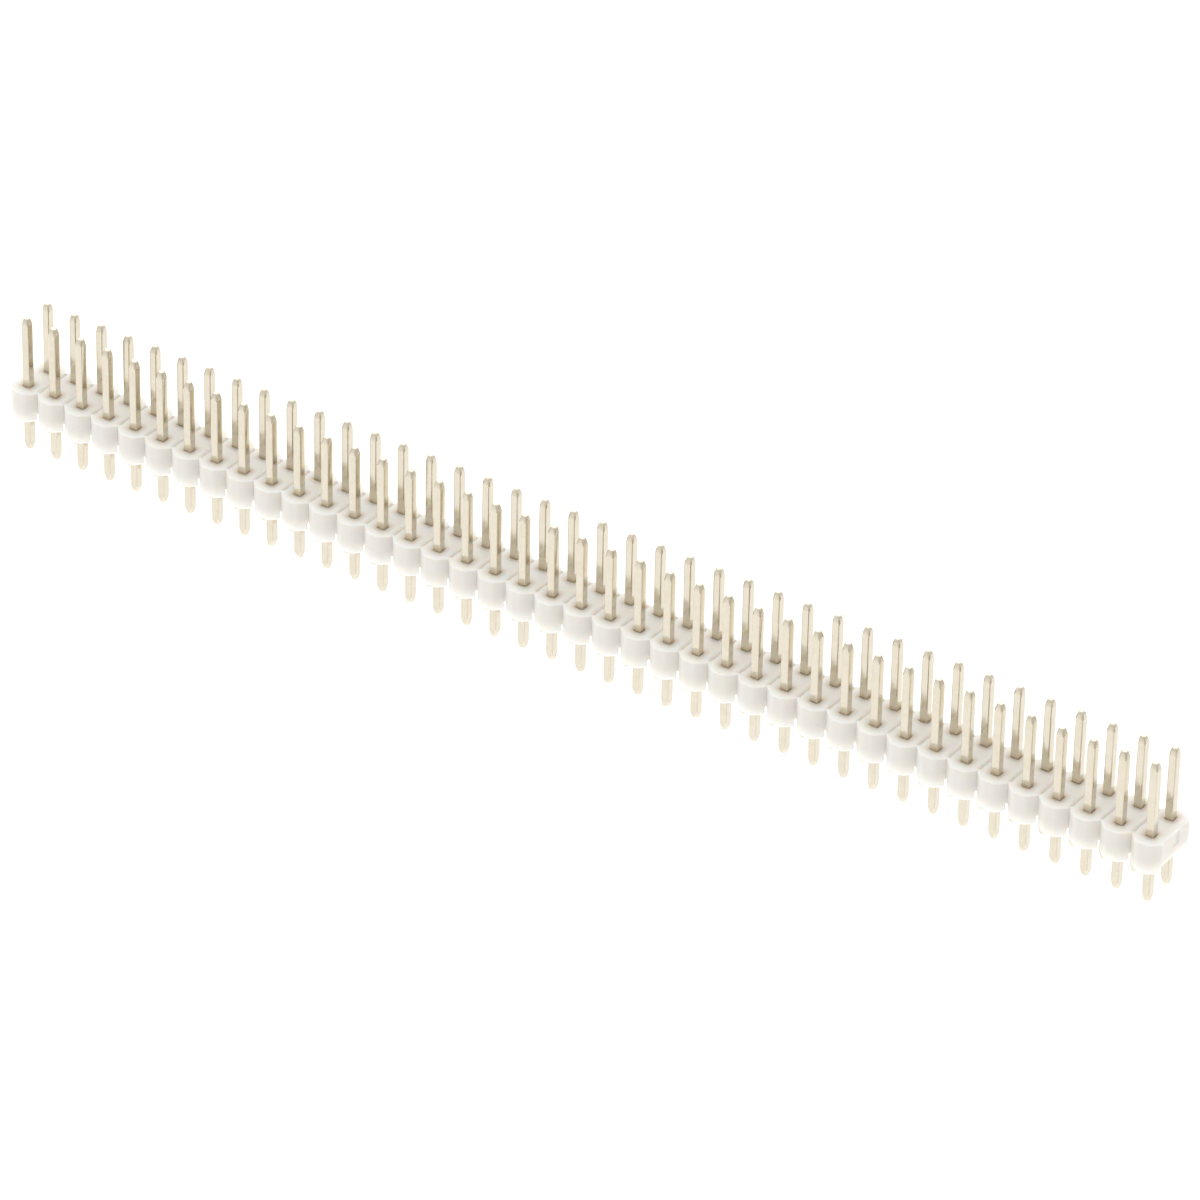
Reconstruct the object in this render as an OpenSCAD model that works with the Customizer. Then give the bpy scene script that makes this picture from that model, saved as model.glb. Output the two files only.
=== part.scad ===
// Double-row pin header strip: square pins pressed through one moulded insulator.
//
// The insulator is a row of eight-sided cells, one for each position, with a V notch between
// neighbours on both long sides, so that the strip can be snapped to length. A break groove
// crosses the top at each joint, and the underside stands on small feet outside a channel.
//
// X runs along the strip, Y from the front row to the back row, and Z up to the mating side.
// The origin is the middle of the strip on the board's surface, where the feet stand.

/* [Strip] */
// Number of positions along the strip, each with a front pin and a back pin
positions = 40; // [2:1:50]
// Distance from one position to the next
pitch = 2.54; // [2.0:0.01:5.08]
// Distance between the two rows of pins
row_pitch = 2.54; // [2.0:0.01:7.62]

/* [Pins] */
// Side of the square pin
pin_side = 0.64; // [0.40:0.01:0.80]
// Length of pin that stands above the insulator's top
mating_len = 5.90; // [3.0:0.1:15.0]
// Length of tail that reaches below the board's surface
tail_len = 2.99; // [2.0:0.01:6.0]
// Length of the four-sided taper at each end of a pin
taper_len = 0.55; // [0.2:0.05:1.0]
// Side of the small flat left at each end of a pin
end_flat = 0.36; // [0.10:0.01:0.38]

/* [Insulator] */
// Height from the feet to the top
housing_h = 2.54; // [1.5:0.01:4.0]
// Distance from a row's centre line to the long side beside it
shoulder = 1.27; // [0.9:0.01:2.5]
// Depth of the V notches, and the size of the cut corners, measured in Y
notch_depth = 0.74; // [0.20:0.01:0.85]
// Gap left round each pin in its hole: none, because the pins are pressed in
pin_play = 0.00; // [0:0.01:0.05]

/* [Feet] */
// Height of the feet, which is also the depth of the channel between them
foot_h = 0.66; // [0.2:0.01:1.0]
// Depth of a foot in Y, from the long side to the channel
foot_depth = 0.80; // [0.3:0.01:0.9]
// Gap between the feet of neighbouring positions
foot_gap = 0.29; // [0.1:0.01:0.8]
// Height of that gap, which ends in a round arch just above the channel's ceiling
foot_gap_h = 0.72; // [0.5:0.01:1.2]
// How far the outermost feet stand back from the end faces
end_setback = 0.07; // [0:0.01:0.3]

/* [Break lines] */
// Width of the break groove across the top at each joint
groove_w = 0.40; // [0.1:0.01:0.7]
// Depth of the break groove
groove_depth = 0.15; // [0.05:0.01:0.3]
// Wall left between the end of a groove and the bottom of its V notch
groove_wall = 0.15; // [0.05:0.01:0.5]
// Width of the shallow pocket in each end face, in Y
pocket_w = 0.90; // [0.3:0.01:1.2]
// How far the pocket goes into the end face
pocket_depth = 0.10; // [0.02:0.01:0.2]
// Height of the pocket, from the top down
pocket_h = 1.15; // [0.3:0.01:1.4]

/* [Hidden] */
// Cuts run this far past the surface that they open
over = 0.5;
// Facets of a full circle
$fn = 32;

strip_len = positions * pitch;
half_len = strip_len / 2;
half_depth = row_pitch / 2 + shoulder;
hole_side = pin_side + 2 * pin_play;
// Distance from the centre line to the bottom of a V notch
notch_y = half_depth - notch_depth;
// Distance from the centre line to the wall of the channel
channel_y = half_depth - foot_depth;

insulator_colour = [0.90, 0.88, 0.84];
pin_colour = [0.86, 0.81, 0.68];

function position_x(n) = (n - (positions + 1) / 2) * pitch;
function joint_x(n) = (n - positions / 2) * pitch;
function pin_node(n) = str("pins_", n < 10 ? "0" : "", n);

// The front edge of the plan, from left to right: a flat face and a notch for each position
function front_edge() = [
    [-half_len, -notch_y],
    for (n = [1 : positions])
        each [
            [position_x(n) - pitch / 2 + notch_depth, -half_depth],
            [position_x(n) + pitch / 2 - notch_depth, -half_depth],
            [position_x(n) + pitch / 2, -notch_y],
        ],
];

// The same edge seen in a mirror, from right to left
function back_edge(front) = [
    for (k = [len(front) - 1 : -1 : 0]) [front[k].x, -front[k].y],
];

// Every cell of the strip as one block
module cell_block() {
    front = front_edge();
    linear_extrude(housing_h) polygon(concat(front, back_edge(front)));
}

// The channel under the pins, from one end of the strip to the other
module underside_channel() {
    translate([-half_len - over, -channel_y, -over])
        cube([strip_len + 2 * over, 2 * channel_y, foot_h + over]);
}

// A slot with a round top, cut right across one row of feet
module arched_slot(width, height) {
    across = foot_depth + 2 * over;
    translate([-width / 2, -across / 2, -over])
        cube([width, across, height - width / 2 + over]);
    translate([0, across / 2, height - width / 2])
        rotate([90, 0, 0]) cylinder(h = across, d = width);
}

// The slots that part the feet, at each joint on both sides
module foot_gaps() {
    for (n = [1 : positions - 1], side = [-1, 1])
        translate([joint_x(n), side * (channel_y + foot_depth / 2), 0])
            arched_slot(foot_gap, foot_gap_h);
    for (end = [-1, 1], side = [-1, 1])
        translate([end * half_len, side * (channel_y + foot_depth / 2), -over])
            translate([-end_setback, -foot_depth / 2 - over, 0])
                cube([2 * end_setback, foot_depth + 2 * over, foot_h + over]);
}

// The V groove across the top at each joint, closed at both ends
module break_grooves() {
    groove_len = 2 * (notch_y - groove_wall);
    // The sides of the V go on past the top, at the same slope
    rise = over;
    spread = groove_w / 2 * (groove_depth + rise) / groove_depth;
    for (n = [0 : positions])
        translate([joint_x(n), groove_len / 2, housing_h])
            rotate([90, 0, 0])
                linear_extrude(groove_len)
                    polygon([[0, -groove_depth], [spread, rise], [-spread, rise]]);
}

// The pocket in the middle of each end face, open at the top
module end_pockets() {
    for (end = [-1, 1])
        translate([end * half_len - pocket_depth, -pocket_w / 2, housing_h - pocket_h])
            cube([2 * pocket_depth, pocket_w, pocket_h + over]);
}

// The square holes that the pins are pressed into
module pin_holes() {
    for (n = [1 : positions], side = [-1, 1])
        translate([position_x(n) - hole_side / 2, side * row_pitch / 2 - hole_side / 2, -over])
            cube([hole_side, hole_side, housing_h + 2 * over]);
}

module housing() {
    color(insulator_colour)
        difference() {
            cell_block();
            underside_channel();
            foot_gaps();
            break_grooves();
            end_pockets();
            pin_holes();
        }
}

// A square wire with a taper on all four sides at both ends: where two flat blades with the
// same tapered outline cross at right angles, what they share is this pin
module pin() {
    top = housing_h + mating_len;
    bottom = -tail_len;
    half = pin_side / 2;
    flat = end_flat / 2;
    outline = [
        [-flat, bottom], [flat, bottom], [half, bottom + taper_len], [half, top - taper_len],
        [flat, top], [-flat, top], [-half, top - taper_len], [-half, bottom + taper_len],
    ];
    intersection() {
        rotate([90, 0, 0]) linear_extrude(pin_side, center = true) polygon(outline);
        rotate([90, 0, 90]) linear_extrude(pin_side, center = true) polygon(outline);
    }
}

// The front pin and the back pin of one position
module pin_pair(n) {
    color(pin_colour)
        for (side = [-1, 1])
            translate([position_x(n), side * row_pitch / 2, 0]) pin();
}

housing();
for (n = [1 : positions])
    pin_pair(n);
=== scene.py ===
# %% [markdown]
# # A double-row pin header strip
# Pin headers carry signals from a circuit board to a socket or a cable. A long strip like this one is
# sold whole and snapped to length. There are two kinds of piece: one white moulded insulator, and the
# square pins that a machine presses through it, two at every position.
#
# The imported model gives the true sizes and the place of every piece. What is added here is what an eye
# sees and a drawing leaves out: rounded edges, the crimped ends of the wire, tin plate and moulded
# nylon.

# %% Load the frame
import math

import bpy
import numpy as np
from mathutils import Matrix, Vector


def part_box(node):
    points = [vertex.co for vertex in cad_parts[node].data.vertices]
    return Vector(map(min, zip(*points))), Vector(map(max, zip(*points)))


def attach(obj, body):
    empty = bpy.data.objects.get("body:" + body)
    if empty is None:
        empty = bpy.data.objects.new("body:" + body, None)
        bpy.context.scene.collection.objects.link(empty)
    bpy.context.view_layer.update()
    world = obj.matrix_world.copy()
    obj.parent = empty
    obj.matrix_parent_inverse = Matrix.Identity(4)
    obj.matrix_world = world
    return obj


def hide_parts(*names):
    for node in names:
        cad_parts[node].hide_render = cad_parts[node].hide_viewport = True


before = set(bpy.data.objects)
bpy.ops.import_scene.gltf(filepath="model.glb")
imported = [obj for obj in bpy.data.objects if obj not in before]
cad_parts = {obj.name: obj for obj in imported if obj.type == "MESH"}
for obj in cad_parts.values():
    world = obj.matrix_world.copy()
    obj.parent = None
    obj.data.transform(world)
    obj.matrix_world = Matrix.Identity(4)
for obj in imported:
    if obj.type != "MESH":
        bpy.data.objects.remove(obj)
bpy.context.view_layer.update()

# %% [markdown]
# ## Sizes
# The file works in millimetres, because that is how such a part is drawn, and meshes are scaled to
# metres as they are made. Whatever the frame can tell is read from it: the strip's length, the height
# of the insulator, and both ends of the pins. The number of positions is the number of pin nodes.

# %% Sizes from the frame
MM = 0.001
positions = sum(name.startswith("pins_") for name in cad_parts)
low, high = (np.array(corner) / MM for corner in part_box("housing"))
pin_low, pin_high = (np.array(corner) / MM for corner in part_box("pins_01"))
HALF_LEN = high[0]
HALF_DEPTH = high[1]
TOP = high[2]
PITCH = 2 * HALF_LEN / positions
ROW_Y = PITCH / 2
TAIL_END, MATING_END = pin_low[2], pin_high[2]
PIN_HALF = (pin_high[0] - pin_low[0]) / 2
print(f"{positions} positions at {PITCH:.2f} mm, pins from {TAIL_END:.2f} to {MATING_END:.2f} mm")

# %% [markdown]
# ## Camera
# A long lens from far away keeps the far end of the strip almost as large as the near end, which is
# how catalogue pictures of connectors are taken. The camera looks down from the front and a little
# from the right, and is rolled by about a degree. Its matrix is built from three unit vectors: back
# along the line of sight, to the right, and up.

# %% Camera
CAMERA_AIM = Vector((1.541, 0.710, 2.121)) * MM
CAMERA_DISTANCE = 565.36 * MM
CAMERA_AZIMUTH, CAMERA_ELEVATION, CAMERA_ROLL = (math.radians(a) for a in (34.145, 33.518, 1.236))
CAMERA_LENS, SENSOR = 234.07, 36.0


def studio_camera():
    """The camera on its tripod: its axes are the line of sight and two directions square to it."""
    level = math.cos(CAMERA_ELEVATION)
    back = Vector((
        math.sin(CAMERA_AZIMUTH) * level,
        -math.cos(CAMERA_AZIMUTH) * level,
        math.sin(CAMERA_ELEVATION),
    ))
    right = (-back).cross(Vector((0, 0, 1))).normalized()
    up = right.cross(-back)
    rolled_right = math.cos(CAMERA_ROLL) * right + math.sin(CAMERA_ROLL) * up
    rolled_up = math.cos(CAMERA_ROLL) * up - math.sin(CAMERA_ROLL) * right
    camera = bpy.data.objects.new("camera", bpy.data.cameras.new("camera"))
    camera.data.lens = CAMERA_LENS
    camera.data.sensor_width = SENSOR
    camera.data.clip_start = 0.01
    camera.data.clip_end = 20
    turn = Matrix((rolled_right, rolled_up, back)).transposed()
    camera.matrix_world = Matrix.LocRotScale(CAMERA_AIM + back * CAMERA_DISTANCE, turn, None)
    bpy.context.scene.collection.objects.link(camera)
    bpy.context.scene.camera = camera
    return camera


camera = studio_camera()
print("camera at", [round(v, 3) for v in camera.location])

# %% [markdown]
# ## Shader sums
# A finish is a sum of small causes: grain, streaks, dust. Written as Python expressions they stay
# readable. A Wire is one output of a node, and adding or multiplying wires adds the Math nodes. A
# Recipe is a node tree, and its make method adds any other node: its type, then its settings, then
# what goes into its sockets.

# %% Wires and recipes


class Wire:
    """One output of a node tree, which takes part in Python sums."""

    def __init__(self, recipe, socket):
        self.recipe = recipe
        self.socket = socket

    def sum_of(self, operation, a, b):
        return self.recipe.make("ShaderNodeMath", {"operation": operation}, {0: a, 1: b})

    def __add__(self, other):
        return self.sum_of("ADD", self, other)

    def __radd__(self, other):
        return self.sum_of("ADD", other, self)

    def __sub__(self, other):
        return self.sum_of("SUBTRACT", self, other)

    def __rsub__(self, other):
        return self.sum_of("SUBTRACT", other, self)

    def __mul__(self, other):
        return self.sum_of("MULTIPLY", self, other)

    def __rmul__(self, other):
        return self.sum_of("MULTIPLY", other, self)

    def __pow__(self, other):
        return self.sum_of("POWER", self, other)

    def __abs__(self):
        return self.sum_of("ABSOLUTE", self, 0.0)

    def at_least(self, other):
        return self.sum_of("MAXIMUM", self, other)

    def ping_pong(self, reach):
        """Distance to the nearest whole multiple of twice the reach."""
        return self.sum_of("PINGPONG", self, reach)


class Recipe:
    """A node tree under construction."""

    def __init__(self, owner):
        owner.use_nodes = True
        self.tree = owner.node_tree
        self.tree.nodes.clear()

    def make(self, kind, settings, sockets, out=0):
        """Adds a node of a kind, sets its settings, then fills its sockets with values or wires."""
        node = self.tree.nodes.new(kind)
        for name, value in settings.items():
            setattr(node, name, value)
        for name, value in sockets.items():
            if isinstance(value, Wire):
                self.tree.links.new(value.socket, node.inputs[name])
            else:
                node.inputs[name].default_value = value
        return Wire(self, node.outputs[out]) if len(node.outputs) else None

    def ramp(self, value, start, end):
        """0 where value is at or before start, 1 at or past end, and a smooth step between."""
        return self.make(
            "ShaderNodeMapRange",
            {"interpolation_type": "SMOOTHSTEP"},
            {"Value": value, "From Min": start, "From Max": end},
        )

    def patch(self, direction, centre, start, end):
        """A soft round patch on the sky: 1 at its centre, where two unit vectors agree, and 0 far off."""
        sockets = {0: direction, 1: Vector(centre).normalized()}
        agree = self.make("ShaderNodeVectorMath", {"operation": "DOT_PRODUCT"}, sockets, out=1)
        return self.ramp(agree, start, end)

    def blend(self, share, a, b):
        """Colour a where share is 0 and colour b where it is 1."""
        sockets = {0: share, 6: a, 7: b}
        return self.make("ShaderNodeMix", {"data_type": "RGBA"}, sockets, out=2)

    def noise(self, place, scale, detail=2.0, roughness=0.5):
        """Cloudy noise from 0 to 1, with scale cycles for each unit of place."""
        sockets = {"Vector": place, "Scale": scale, "Detail": detail, "Roughness": roughness}
        return self.make("ShaderNodeTexNoise", {}, sockets)

    def axes(self, place):
        """The x, y and z of a place as three wires."""
        first = self.make("ShaderNodeSeparateXYZ", {}, {0: place})
        return [Wire(self, output) for output in first.socket.node.outputs]


print("shader sums ready")

# %% [markdown]
# ## Light and floor
# A small shiny part is lit by what surrounds it, more than by lamps. The pins are mirrors, and they
# show white paper below, a pale ceiling, a greyer room at the horizon, a white card low behind the
# strip and the darkest patch towards the camera. A sky picture could hold all that, but one formula
# of direction is easier to read and to change. A softbox behind the strip puts white on the cut ends
# of the pins: only mirrors see it, or it would bleach the back of the insulator. The fill on the
# right does the opposite. The view is set to Standard, so that a white floor is white.

# %% Surroundings
PAPER, PAPER_BELOW = 1.24, 0.22
ROOM = 0.92
CEILING = 1.03
BACKDROP = 1.10
CAMERA_SIDE, CAMERA_SIDE_SHADE = (0.86, -0.49, 0.12), 0.25
BACK_CARD, BACK_CARD_GAIN = (-0.47, 0.69, -0.55), 0.35
# Where each part of the sky begins and is complete: by height, or by the cosine from its centre
PAPER_EDGE, CEILING_EDGE, NADIR_EDGE = (-0.06, -0.40), (0.02, 0.55), (-0.58, -0.95)
SHADE_EDGE, CARD_EDGE = (0.42, 1.0), (0.86, 0.985)
CEILING_WARMTH = (1.0, 0.985, 0.955, 1)
WHITE = (1.0, 1.0, 1.0, 1)


def surroundings():
    """Brightness by direction: paper, ceiling and room, times one less the shade, plus the card."""
    world = bpy.data.worlds.new("studio")
    bpy.context.scene.world = world
    recipe = Recipe(world)
    direction = recipe.make("ShaderNodeTexCoord", {}, {})
    height = recipe.axes(direction)[2]
    below = recipe.ramp(height, *PAPER_EDGE)
    above = recipe.ramp(height, *CEILING_EDGE)
    shade = CAMERA_SIDE_SHADE * recipe.patch(direction, CAMERA_SIDE, *SHADE_EDGE)
    card = BACK_CARD_GAIN * recipe.patch(direction, BACK_CARD, *CARD_EDGE)
    level = ROOM + (PAPER - ROOM) * below + (CEILING - ROOM) * above
    level = level + PAPER_BELOW * recipe.ramp(height, *NADIR_EDGE)
    warmth = recipe.blend(above, WHITE, CEILING_WARMTH)
    level = level * (1 - shade) + card
    lit = recipe.make("ShaderNodeBackground", {}, {"Color": warmth, "Strength": level})
    plain = recipe.make("ShaderNodeBackground", {}, {"Color": WHITE, "Strength": BACKDROP})
    seen = recipe.make("ShaderNodeLightPath", {}, {})
    both = recipe.make("ShaderNodeMixShader", {}, {0: seen, 1: lit, 2: plain})
    recipe.make("ShaderNodeOutputWorld", {}, {0: both})


surroundings()
bpy.context.scene.view_settings.view_transform = "Standard"
print("surroundings: paper", PAPER, "room", ROOM, "ceiling", CEILING)

# %% Softboxes


def softbox(name, direction, distance, size, watts, colour):
    """A square area lamp at a distance from the strip in a direction, turned to face it."""
    lamp = bpy.data.lights.new(name, "AREA")
    lamp.shape = "SQUARE"
    lamp.size = size
    lamp.energy = watts
    lamp.color = colour
    place = Vector(direction).normalized() * distance
    holder = bpy.data.objects.new(name, lamp)
    holder.location = place
    holder.rotation_euler = place.to_track_quat("Z", "Y").to_euler()
    bpy.context.scene.collection.objects.link(holder)
    return holder


LAMP_DISTANCE = 0.60
LAMP_WARMTH = (1.0, 0.98, 0.95)
back_softbox = softbox("back_softbox", (-0.47, 0.69, 0.62), LAMP_DISTANCE, 0.42, 0.60, LAMP_WARMTH)
softbox("left_softbox", (-0.80, -0.35, 0.45), LAMP_DISTANCE, 0.35, 0.14, LAMP_WARMTH)
right_fill = softbox("right_fill", (0.93, 0.35, 0.02), LAMP_DISTANCE, 0.40, 0.38, LAMP_WARMTH)
back_softbox.visible_diffuse = False
right_fill.visible_glossy = False

# %% Floor
FLOOR_SIDE = 6.0
FLOOR_GLOW = 0.55
FLOOR_WHITE = (0.80, 0.80, 0.80, 1)


def floor():
    """White paper on a light table: the plane that the ends of the tails stand on."""
    side, z = FLOOR_SIDE / 2, TAIL_END * MM
    mesh = bpy.data.meshes.new("floor")
    corners = [(-side, -side, z), (side, -side, z), (side, side, z), (-side, side, z)]
    mesh.from_pydata(corners, [], [(0, 1, 2, 3)])
    paper = bpy.data.materials.new("white_paper")
    recipe = Recipe(paper)
    sockets = {
        "Base Color": FLOOR_WHITE,
        "Roughness": 0.9,
        "Emission Color": WHITE,
        "Emission Strength": FLOOR_GLOW,
    }
    shader = recipe.make("ShaderNodeBsdfPrincipled", {}, sockets)
    recipe.make("ShaderNodeOutputMaterial", {}, {0: shader})
    mesh.materials.append(paper)
    plane = bpy.data.objects.new("floor", mesh)
    plane.visible_glossy = False
    plane.visible_diffuse = False
    plane.visible_shadow = False
    bpy.context.scene.collection.objects.link(plane)


floor()
print("floor at", round(TAIL_END, 2), "mm")

# %% [markdown]
# ## The insulator's plan
# The strip is a row of eight-sided cells that meet at break lines. Seen from above, the long side
# runs out from the bottom of a V notch at 45 degrees and then along the cell's flat face. Everything
# about a place along the strip follows from one number: its distance from the nearest break line.
# The corner between the slope and the flat is rounded, as every corner of a mould is.

# %% Plan
NOTCH_DEPTH = 0.74
CORNER_ROUND = 0.30


def from_joint(x):
    """Distance along the strip to the nearest break line. The strip begins and ends on one."""
    return np.abs((x + HALF_LEN + PITCH / 2) % PITCH - PITCH / 2)


def side_y(x):
    """Half depth of the plan: the lower of the slope and the flat, with a parabola between them."""
    slope = HALF_DEPTH - NOTCH_DEPTH + from_joint(x)
    apart = np.abs(slope - HALF_DEPTH)
    rounding = np.clip(CORNER_ROUND - apart, 0, None) ** 2 / (4 * CORNER_ROUND)
    return np.minimum(slope, HALF_DEPTH) - rounding


def side_stretch(x):
    """How much longer a step in Y is than the same step square to the side: root of 1 + slope²."""
    slope = np.clip((HALF_DEPTH - side_y(x)) / (2 * CORNER_ROUND), 0, None)
    steep = np.clip(slope * 2, 0, 1)
    return np.sqrt(1 + steep**2)


print("side at a notch and at a face:", side_y(HALF_LEN), side_y(HALF_LEN - PITCH / 2))

# %% [markdown]
# ## The insulator's surface
# Cutting each hole and groove out of a block would work, but it leaves faces of all shapes. Instead
# the whole strip is one sheet of paper wrapped round in a tube: every cross-section of the strip is
# a ring with the same number of points, and the rings stand at chosen places along X. The top and
# the underside are each a height for every x and y, so the grooves, the end pockets, the arches
# between the feet and the rounded rims are all one formula. Only the pin holes go through the
# sheet. Each is exactly one face of the grid, taken out above and below and joined by four walls.
# A hole is a hair wider than its pin, which leaves a thin dark line round the pin.

# %% Sizes of the insulator's details
EDGE_DROP = 0.006
HOLE_HALF = PIN_HALF + 0.015
FUNNEL_HALF = 0.385
FUNNEL_DEPTH = 0.090
GROOVE_HALF, GROOVE_DEPTH = 0.235, 0.160
GROOVE_END = 1.650
POCKET_X, POCKET_HALF_Y, POCKET_DEPTH = 0.100, 0.450, 1.150
FOOT_H = 0.660
CHANNEL_Y = 1.740
ARCH_HALF, ARCH_TOP = 0.145, 0.720
END_SETBACK = 0.070
FOOT_ROUND = 0.110
RIM_AT_NOTCH, RIM_AT_FACE = 0.110, 0.200
LOWER_RIM = 0.080
END_RIM = 0.060

HOLE_J = PITCH / 2 - HOLE_HALF
FUNNEL_J = PITCH / 2 - FUNNEL_HALF


def columns():
    """Places along X. Each half cell has one at every edge of a feature, the ends a few more."""
    shared = [POCKET_X, POCKET_X + EDGE_DROP, 0.15, 0.20, 0.235, 0.27, 0.45]
    corner = NOTCH_DEPTH + CORNER_ROUND * np.array([-1.0, -0.5, 0.0, 0.5])
    inner = [0, 0.07, ARCH_HALF, ARCH_HALF + EDGE_DROP, *shared, *corner, FUNNEL_J, HOLE_J]
    ends = [0, 0.018, END_RIM, END_SETBACK, END_SETBACK + EDGE_DROP]
    outer = [*ends, *shared, *corner, FUNNEL_J, HOLE_J]
    joints = HALF_LEN - PITCH * np.arange(1, positions)
    inside = joints[:, None] + np.array([-np.array(inner), np.array(inner)])[:, None, :]
    ends = np.array([HALF_LEN - np.array(outer), np.array(outer) - HALF_LEN])
    return np.unique(np.round(np.concatenate([inside.ravel(), ends.ravel()]), 6))


xs = columns()
print(len(xs), "cross-sections")

# %% Rows of the top and the underside


def rim_angles(steps):
    """Angles of a quarter round, from the flat to the side."""
    return np.linspace(np.pi / 2, 0, steps)


def rows(x, fixed, rim, angles):
    """Y of every row from the front side to the back: fixed rows, then a rim that follows the side."""
    rim_y = side_y(x) - side_stretch(x) * rim * (1 - np.cos(angles))[:, None]
    half = np.concatenate([np.repeat(np.array(fixed)[:, None], len(x), 1), rim_y])
    return np.concatenate([-half[:0:-1], half])


def rim_drop(angles, fixed, rim):
    """How far each row lies below the flat: nothing on the fixed rows, a quarter round on the rim."""
    drop = rim * (1 - np.sin(angles))[:, None]
    half = np.concatenate([np.zeros((len(fixed), len(rim))), drop])
    return np.concatenate([half[:0:-1], half])


HOLE_ROWS = [ROW_Y - HOLE_HALF, ROW_Y + HOLE_HALF]
FUNNEL_ROWS = [ROW_Y - FUNNEL_HALF, ROW_Y + FUNNEL_HALF]
POCKET_ROWS = [POCKET_HALF_Y - EDGE_DROP, POCKET_HALF_Y]
TOP_FIXED = sorted([0, *POCKET_ROWS, *HOLE_ROWS, *FUNNEL_ROWS, GROOVE_END])
LOW_FIXED = [0, *HOLE_ROWS, CHANNEL_Y, CHANNEL_Y + EDGE_DROP]
TOP_ANGLES, LOW_ANGLES = rim_angles(5), rim_angles(4)

joint = from_joint(xs)
from_end = HALF_LEN - np.abs(xs)
top_rim = RIM_AT_NOTCH + (RIM_AT_FACE - RIM_AT_NOTCH) * np.clip(joint / NOTCH_DEPTH, 0, 1)
low_rim = np.clip((side_y(xs) - CHANNEL_Y - 2 * EDGE_DROP) / 1.5, 0.01, LOWER_RIM)
top_y = rows(xs, TOP_FIXED, top_rim, TOP_ANGLES)
low_y = rows(xs, LOW_FIXED, low_rim, LOW_ANGLES)
print("rows above and below:", len(top_y), len(low_y))

# %% Heights of the top and the underside


def quarter_round(distance, radius):
    """How far a rounded edge has dropped at a distance inside it: r less the root of r² - (r - d)²."""
    short = np.clip(radius - distance, 0, radius)
    return radius - np.sqrt(radius**2 - short**2)


def top_height(y):
    """Height of the top: the flat, less the groove, the end pocket, the funnels and the rims."""
    inside_groove = np.abs(y) < GROOVE_END - 1e-4
    across = np.clip(joint / GROOVE_HALF, 0, 1)
    groove = GROOVE_DEPTH * (0.5 + 0.5 * np.cos(np.pi * across)) * inside_groove
    in_pocket = (from_end < POCKET_X + 1e-4) & (np.abs(y) < POCKET_HALF_Y - EDGE_DROP + 1e-4)
    at_hole = np.abs(joint - HOLE_J) < 1e-4
    funnel = FUNNEL_DEPTH * at_hole * np.isin(np.round(np.abs(y), 4), np.round(HOLE_ROWS, 4))
    rim = rim_drop(TOP_ANGLES, TOP_FIXED, top_rim)
    rim = np.maximum(rim, quarter_round(from_end, END_RIM))
    return TOP - np.maximum(groove, POCKET_DEPTH * in_pocket) - funnel - rim


def low_height(y):
    """Height of the underside: the channel's ceiling, and outside it the feet and their arches."""
    arch = ARCH_TOP - ARCH_HALF + np.sqrt(np.clip(ARCH_HALF**2 - joint**2, 0, None))
    at_end = from_end < PITCH / 2
    foot_starts = np.where(at_end, END_SETBACK, ARCH_HALF) + EDGE_DROP
    between = np.where(at_end, FOOT_H, arch)
    foot = quarter_round(joint - foot_starts, FOOT_ROUND)
    outside = np.where(joint < foot_starts - 1e-4, between, foot)
    rim = rim_drop(LOW_ANGLES, LOW_FIXED, low_rim)
    outside = outside + np.where(joint < foot_starts - 1e-4, 0.5, 1.0) * rim
    return np.where(np.abs(y) < CHANNEL_Y + 1e-4, FOOT_H, outside)


top_z, low_z = top_height(top_y), low_height(low_y)
print("top from", top_z.min().round(3), "to", top_z.max(), "and underside up to", low_z.max().round(3))

# %% Rings of the insulator
WALL_SHARES = np.array([0.25, 0.5, 0.75])


def wall(y, z_from, z_to):
    """The long side between two rims: equal shares of the way from one height to the other."""
    z = z_from + WALL_SHARES[:, None] * (z_to - z_from)
    return np.repeat(y[None], len(WALL_SHARES), 0), z


def insulator_rings():
    """Each cross-section as a ring: over the top, down the back, under, and up the front."""
    back_y, back_z = wall(top_y[-1], top_z[-1], low_z[-1])
    front_y, front_z = wall(top_y[0], low_z[0], top_z[0])
    y = np.concatenate([top_y, back_y, low_y[::-1], front_y])
    z = np.concatenate([top_z, back_z, low_z[::-1], front_z])
    x = np.repeat(xs[None], len(y), 0)
    return np.stack([x, y, z], -1).transpose(1, 0, 2)


rings = insulator_rings()
print("rings:", rings.shape)

# %% [markdown]
# ## Faces of the insulator
# The grid's faces follow from their numbers alone. The face under each pin is dropped on the top and
# on the underside, and four walls join the two openings. A flat face with many corners closes each
# end of the strip.

# %% Faces of the insulator
INSULATOR_SHARP, PIN_SHARP = 32, 13


def mesh_from(name, points, faces, sharp_above):
    """A mesh in metres from points in mm, smooth but for edges that turn by more than an angle."""
    mesh = bpy.data.meshes.new(name)
    mesh.from_pydata((points * MM).tolist(), [], faces)
    mesh.update(calc_edges=True)
    mesh.shade_smooth()
    mesh.set_sharp_from_angle(angle=math.radians(sharp_above))
    return mesh


def ring_faces(count, ring):
    """Faces between neighbouring rings, by number: this, next, next round, this round."""
    start = np.arange(count - 1)[:, None] * ring
    here = np.arange(ring)[None]
    after = (here + 1) % ring
    corners = [start + here, start + ring + here, start + ring + after, start + after]
    return np.stack(np.broadcast_arrays(*corners), -1)


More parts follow.
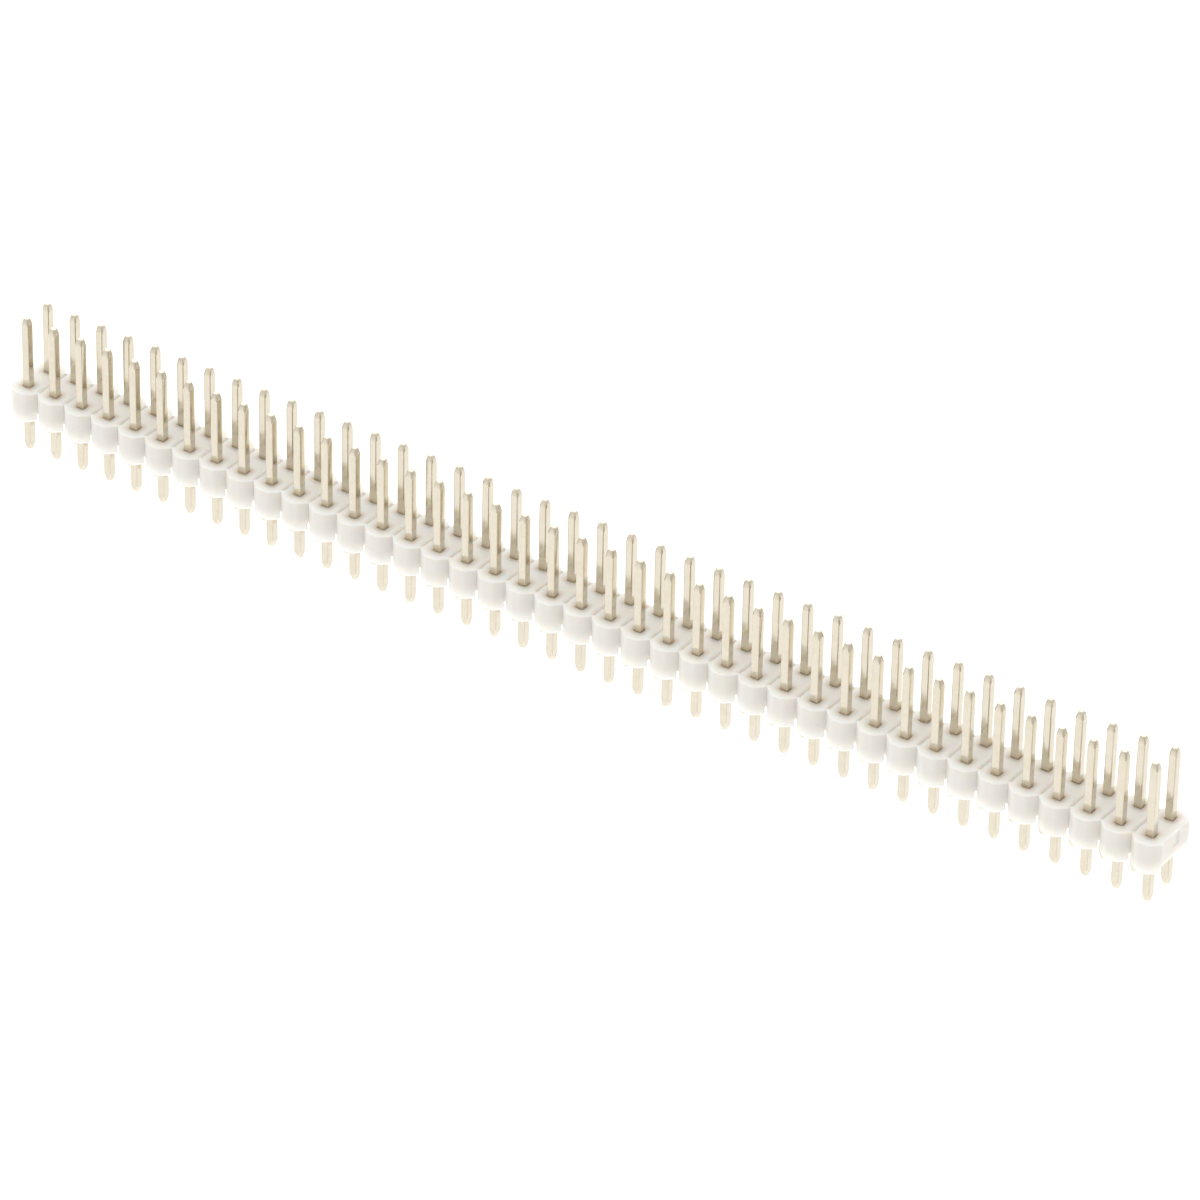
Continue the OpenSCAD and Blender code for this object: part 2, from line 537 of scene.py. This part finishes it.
def insulator():
    """The moulded strip with its pin holes, as one closed mesh."""
    count, ring = rings.shape[:2]
    numbers = np.arange(count * ring).reshape(count, ring)
    faces = ring_faces(count, ring)
    keep = np.ones(faces.shape[:2], bool)
    hole_columns = np.flatnonzero(np.abs(joint - HOLE_J) < 1e-4)[::2]
    ring_y = rings[0, :, 1]
    walls = []
    for edge in (-HOLE_ROWS[1], HOLE_ROWS[0]):
        near = np.flatnonzero(np.abs(ring_y - edge) < 1e-4)
        above, below = near.min(), near.max()
        keep[hole_columns, above] = False
        keep[hole_columns, below - 1] = False
        i = hole_columns
        upper = [numbers[i, above], numbers[i + 1, above], numbers[i + 1, above + 1], numbers[i, above + 1]]
        lower = [numbers[i, below], numbers[i + 1, below], numbers[i + 1, below - 1], numbers[i, below - 1]]
        for a in range(4):
            b = (a + 1) % 4
            walls.append(np.stack([upper[a], upper[b], lower[b], lower[a]], -1))
    quads = np.concatenate([faces[keep], *walls]).tolist()
    ends = [numbers[0].tolist(), numbers[-1][::-1].tolist()]
    return mesh_from("insulator", rings.reshape(-1, 3), quads + ends, INSULATOR_SHARP)


insulator_mesh = insulator()
print("insulator faces:", len(insulator_mesh.polygons))

# %% [markdown]
# ## The pins
# A pin is drawn square wire, cut to length and crimped at both ends. Drawing leaves the four long
# edges slightly round. Crimping pushes in four slopes, which are never quite alike: each starts at
# its own height, they reach lower at the corners than in the middle of a face, and the cut end in
# the middle is a small uneven flat. So one section, a rounded square, is carried along the pin, and
# the heights at which the slopes begin are drawn afresh for every pin.

# %% Section of the wire
WIRE_ROUND = 0.080
WIRE_SUPPORT = 0.025


def wire_section(half, radius, support):
    """A rounded square as complex numbers: for each corner an arc, with a point on either side."""
    arc = np.exp(1j * np.radians([0, 30, 60, 90])) * radius + (half - radius) * (1 + 1j)
    before = half + 1j * (half - radius - support)
    after = (half - radius - support) + 1j * half
    corner = np.array([before, *arc, after])
    return np.concatenate([corner * 1j**turn for turn in range(4)])


section = wire_section(PIN_HALF, WIRE_ROUND, WIRE_SUPPORT)
RING = len(section)
print("points round a pin:", RING)

# %% Crimped ends
CRIMP_LENGTH, CRIMP_SPREAD = 0.45, 0.08
CORNER_DEEPER, CORNER_SPREAD = 0.15, 0.05
FRONT_CUT, BACK_CUT, TAIL_CUT = 0.228, 0.198, 0.235
CUT_SPREAD, CUT_SKEW, CUT_SHIFT = 0.020, 0.10, 0.02
CUT_ROUND = 0.035
CUT_CORNERS = 0.75
HALF_WAY = 0.42
FRONT_BULGE, BACK_BULGE, TAIL_BULGE = 0.10, 0.22, 0.05
TURN_DEGREES, LEAN, DOME = 1.2, 0.0016, 0.004
CORNER_WEIGHT = np.tile([0.15, 0.45, 1.0, 1.0, 0.45, 0.15], 4)


def crimped_end(chance, cut_half):
    """Depth of the slopes round the pin, and the outline of the cut end, from 12 random numbers."""
    faces = np.repeat(CRIMP_LENGTH + CRIMP_SPREAD * chance[:4], 6)
    mixed = (np.roll(faces, 3) + np.roll(faces, -3)) / 2
    depth = mixed + CORNER_WEIGHT * (CORNER_DEEPER + CORNER_SPREAD * np.repeat(chance[4:8], 6))
    half = cut_half + CUT_SPREAD * chance[8]
    cut = wire_section(half, half * CUT_CORNERS, 0.01)
    cut = cut * (1 + CUT_SKEW * chance[9] * np.sign(cut.real))
    cut = cut + CUT_SHIFT * (chance[10] + 1j * chance[11])
    return depth, cut


def half_way(cut, bulge):
    """The outline half way up a slope: between the cut and the full section, pushed out by bulge."""
    return cut + (section - cut) * (HALF_WAY + bulge)


def pin_points(centre, chance, cut_half, bulge, end):
    """Rings of one pin from the cut end of the tail to the cut end above, with a point in each cut."""
    tail_depth, tail_cut = crimped_end(chance[:12], TAIL_CUT)
    depth, cut = crimped_end(chance[12:24], cut_half)
    turn = np.exp(1j * np.radians(TURN_DEGREES) * chance[24])
    flats = [
        (tail_cut * 0.8, np.full(RING, TAIL_END)),
        (tail_cut, np.full(RING, TAIL_END + CUT_ROUND)),
        (half_way(tail_cut, TAIL_BULGE), TAIL_END + tail_depth * HALF_WAY),
        (section, TAIL_END + tail_depth),
        (section, np.zeros(RING)),
        (section, np.full(RING, TOP)),
        (section, end - depth),
        (half_way(cut, bulge), end - depth * HALF_WAY),
        (cut, np.full(RING, end - CUT_ROUND)),
        (cut * 0.8, np.full(RING, end)),
    ]
    plan = np.concatenate([flat for flat, z in flats]) * turn
    z = np.concatenate([z for flat, z in flats])
    plan = np.append(plan, [tail_cut.mean() * turn, cut.mean() * turn])
    z = np.append(z, [TAIL_END - DOME, end + DOME])
    lean = LEAN * (chance[25] + 1j * chance[26])
    plan = plan + lean * (z - TOP) + centre
    return np.stack([plan.real, plan.imag, z], -1)


def pin_faces():
    """Faces of one pin: the rings, and a fan in each cut end."""
    ring, count = RING, 10
    start = np.arange(count - 1)[:, None] * ring
    here = np.arange(ring)[None]
    after = (here + 1) % ring
    corners = [start + here, start + after, start + ring + after, start + ring + here]
    sides = np.stack(np.broadcast_arrays(*corners), -1).reshape(-1, 4).tolist()
    low_fan = [[count * ring, (k + 1) % ring, k] for k in range(ring)]
    last = (count - 1) * ring
    high_fan = [[count * ring + 1, last + k, last + (k + 1) % ring] for k in range(ring)]
    return sides + low_fan + high_fan


dice = np.random.default_rng(40)
chances = dice.uniform(-1, 1, (positions, 2, 28))
one_pin = pin_faces()
print("faces of one pin:", len(one_pin))

# %% Pairs of pins
PRESSED_SPREAD = 0.025
NO_LIFT = np.zeros(2)
STANDS_HIGH = {positions - 1: np.array([0.13, 0.0]), positions: np.array([0.16, 0.05])}


def pin_pair(n):
    """The front pin and the back pin of position n, as two closed shells in one mesh."""
    x = -HALF_LEN + PITCH * (n - 0.5)
    ends = MATING_END + PRESSED_SPREAD * chances[n - 1, :, 27] + STANDS_HIGH.get(n, NO_LIFT)
    front = pin_points(x - 1j * ROW_Y, chances[n - 1, 0], FRONT_CUT, FRONT_BULGE, ends[0])
    back = pin_points(x + 1j * ROW_Y, chances[n - 1, 1], BACK_CUT, BACK_BULGE, ends[1])
    shifted = [[k + len(front) for k in face] for face in one_pin]
    return mesh_from(f"pin_pair_{n:02d}", np.concatenate([front, back]), one_pin + shifted, PIN_SHARP)


pair_meshes = [pin_pair(n) for n in range(1, positions + 1)]
print("pairs of pins:", len(pair_meshes))

# %% [markdown]
# ## Moulded nylon
# The insulator is nylon in natural white. Light goes a little way into it, which softens every
# shadow, so the shader has some subsurface. The surface is satin with a fine even grain from the
# mould, and the white is not quite one white: it drifts a little towards cream, and has a few dust
# specks. Shade is painted into the colour as well. A warm brown painted shade lies on the top close to
# the pins and in the grooves. The long sides get a darker painted tone above the foot, which stands in
# for light that the real nylon lets through from below. A painted map could hold these, but distances
# worked out from Object coordinates need no unwrapping and follow the pitch.

# %% Nylon
NYLON_WHITE, NYLON_CREAM = (0.922, 0.907, 0.872, 1), (0.905, 0.885, 0.842, 1)
# Painted shade: the darker white of the long sides.
SIDE_PAINTED_SHADE = (0.776, 0.756, 0.718, 1)
# Painted shade: the warm brown near the pins and in the grooves. The dust brown is real dust.
PAINTED_SHADE_BROWN, DUST_BROWN = (0.71, 0.53, 0.34, 1), (0.42, 0.36, 0.29, 1)
SHADE_REACH, SHADE_AT_PIN, SHADE_IN_GROOVE = 0.60, 0.50, 0.10


def nylon():
    """Satin off-white nylon with a fine mould grain and dust specks, painted warm shade near the pins and
    in grooves, and painted darker shade on the long sides.
    """
    material = bpy.data.materials.new("natural_nylon")
    recipe = Recipe(material)
    place = recipe.make("ShaderNodeTexCoord", {}, {}, out=3)
    drift = recipe.noise(place, 700.0, 3.0, 0.55)
    grain = recipe.noise(place, 16000.0, 3.0, 0.6)
    dust = recipe.ramp(recipe.noise(place, 5200.0, 1.0, 0.4), 0.80, 0.86)
    x, y, z = recipe.axes(place)
    to_joint = (x + HALF_LEN * MM).ping_pong(PITCH / 2 * MM)
    to_row = abs(abs(y) - ROW_Y * MM)
    beside_x = ((PITCH / 2 - PIN_HALF) * MM - to_joint).at_least(0.0)
    beside_y = (to_row - PIN_HALF * MM).at_least(0.0)
    from_pin = (beside_x * beside_x + beside_y * beside_y) ** 0.5
    # Painted shade: a warm brown on the top, strongest beside each pin and faint in the break grooves,
    # where shadow falls.
    on_top = recipe.ramp(z, (TOP - 0.30) * MM, (TOP - 0.20) * MM)
    shade_near_pin = recipe.ramp(from_pin, SHADE_REACH * MM, 0.0) * SHADE_AT_PIN * on_top
    shade_in_groove = recipe.ramp(to_joint, 0.20 * MM, 0.10 * MM) * recipe.ramp(to_row, 0.50 * MM, 0.30 * MM)
    painted_shade = shade_near_pin + shade_in_groove * on_top * SHADE_IN_GROOVE
    white = recipe.blend(recipe.ramp(drift, 0.35, 0.70), NYLON_WHITE, NYLON_CREAM)
    # Painted shade: the long sides are darker above the foot, and this fades out towards the bottom and at
    # the top rim.
    at_rim = recipe.ramp(z, (TOP - 0.20) * MM, (TOP - 0.05) * MM)
    shaded_sides = recipe.ramp(z, -0.20 * MM, 1.20 * MM) - at_rim
    white = recipe.blend(shaded_sides.at_least(0.0), white, SIDE_PAINTED_SHADE)
    white = recipe.blend(painted_shade, white, PAINTED_SHADE_BROWN)
    colour = recipe.blend(0.6 * dust, white, DUST_BROWN)
    height = 0.7 * grain + 0.3 * drift
    bump = recipe.make("ShaderNodeBump", {}, {"Strength": 0.25, "Distance": 0.00002, "Height": height})
    sockets = {
        "Base Color": colour,
        "Roughness": 0.40 + 0.14 * grain,
        "IOR": 1.52,
        "Normal": bump,
        "Subsurface Weight": 1.0,
        "Subsurface Radius": (1.0, 0.82, 0.60),
        "Subsurface Scale": 0.0010,
    }
    shader = recipe.make("ShaderNodeBsdfPrincipled", {}, sockets)
    recipe.make("ShaderNodeOutputMaterial", {}, {0: shader})
    return material


nylon_material = nylon()
print("nylon:", len(nylon_material.node_tree.nodes), "nodes")

# %% [markdown]
# ## Tin plate
# The pins are brass under a thin plate of tin, which gives a pale warm silver. It is a mirror with
# faint lines along the wire from drawing, so the noise is stretched along Z. The crimped ends were
# pressed by a tool and are duller. They are also a little darker in colour, which is partly the
# crimped finish and partly painted shade of the tips.

# %% Tin plate
TIN_WARM, TIN_PALE = (0.675, 0.617, 0.500, 1), (0.705, 0.647, 0.535, 1)
TIN_CRIMPED_AND_SHADE = (0.64, 0.58, 0.46, 1)


def tin_plate():
    """Pale champagne plate: a near mirror, streaked along Z, duller where the ends were crimped, and darker
    there from the crimped finish and painted shade of the tips.
    """
    material = bpy.data.materials.new("tin_plate")
    recipe = Recipe(material)
    place = recipe.make("ShaderNodeTexCoord", {}, {}, out=3)
    drawn = recipe.make("ShaderNodeMapping", {}, {"Vector": place, "Scale": (1.0, 1.0, 0.04)})
    z = recipe.axes(place)[2]
    streaks = recipe.noise(drawn, 9000.0, 3.0, 0.6)
    clouds = recipe.noise(place, 1600.0, 3.0, 0.6)
    upper = recipe.ramp(z, (MATING_END - 0.58) * MM, (MATING_END - 0.42) * MM)
    lower = recipe.ramp(z, (TAIL_END + 0.58) * MM, (TAIL_END + 0.42) * MM)
    crimped_and_shaded = upper + lower
    tone = recipe.blend(recipe.ramp(clouds, 0.3, 0.7), TIN_WARM, TIN_PALE)
    # Darker crimped ends: partly the duller crimped finish, partly painted shade of the tips.
    colour = recipe.blend(crimped_and_shaded * 0.30, tone, TIN_CRIMPED_AND_SHADE)
    height = 0.6 * streaks + 0.4 * clouds
    bump = recipe.make("ShaderNodeBump", {}, {"Strength": 0.12, "Distance": 0.00001, "Height": height})
    sockets = {
        "Base Color": colour,
        "Metallic": 1.0,
        "Roughness": 0.11 + 0.08 * streaks + 0.14 * crimped_and_shaded,
        "Normal": bump,
    }
    shader = recipe.make("ShaderNodeBsdfPrincipled", {}, sockets)
    recipe.make("ShaderNodeOutputMaterial", {}, {0: shader})
    return material


tin_material = tin_plate()
print("tin plate:", len(tin_material.node_tree.nodes), "nodes")

# %% [markdown]
# ## Put together
# Each finished piece stands for its CAD node, which is hidden, rides on the only body that a part
# without joints has, and is given its material.

# %% Place the pieces


def place_piece(mesh, material, node):
    """Adds a piece with its finish, in place of a CAD node."""
    mesh.materials.append(material)
    piece = bpy.data.objects.new(mesh.name, mesh)
    bpy.context.scene.collection.objects.link(piece)
    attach(piece, "root")
    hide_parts(node)
    return piece


place_piece(insulator_mesh, nylon_material, "housing")
for number, pair in enumerate(pair_meshes, start=1):
    place_piece(pair, tin_material, f"pins_{number:02d}")
